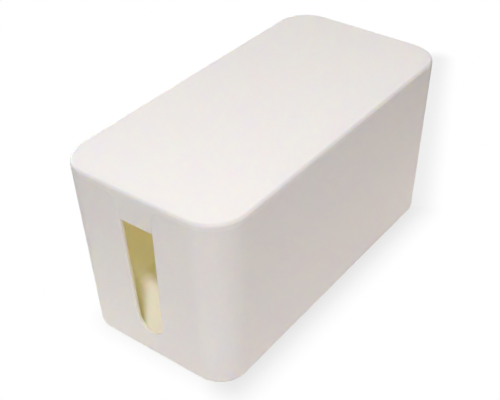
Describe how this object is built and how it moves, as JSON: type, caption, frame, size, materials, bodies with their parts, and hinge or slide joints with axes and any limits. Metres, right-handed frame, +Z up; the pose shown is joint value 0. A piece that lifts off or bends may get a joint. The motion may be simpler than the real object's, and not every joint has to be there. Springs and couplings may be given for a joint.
{
  "type": "cable management box",
  "caption": "Tapered, round-cornered plastic box that hides a short power strip and its cords, with cord slots in its end walls and a lift-off lid.",
  "frame": {"origin": "on the floor under the middle of the box", "axes": "+X along the length, with a slotted end wall at each end; +Y across the width; +Z up, towards the lid"},
  "size_m": [0.2348, 0.1158, 0.12],
  "materials": {
    "box_plastic": "warm white, fine satin",
    "lid_plastic": "warm white, fine satin",
    "foot_rubber": "soft light grey rubber"
  },
  "bodies": {
    "box": {"body_shell": "box_plastic", "foot_front_left": "foot_rubber", "foot_front_right": "foot_rubber", "foot_rear_left": "foot_rubber", "foot_rear_right": "foot_rubber"},
    "lid": {"lid": "lid_plastic"}
  },
  "joints": [
    {"name": "lid_lift", "type": "slide", "parent": "box", "child": "lid", "axis": [0, 0, 1], "range_m": [0, 0.08]}
  ]
}
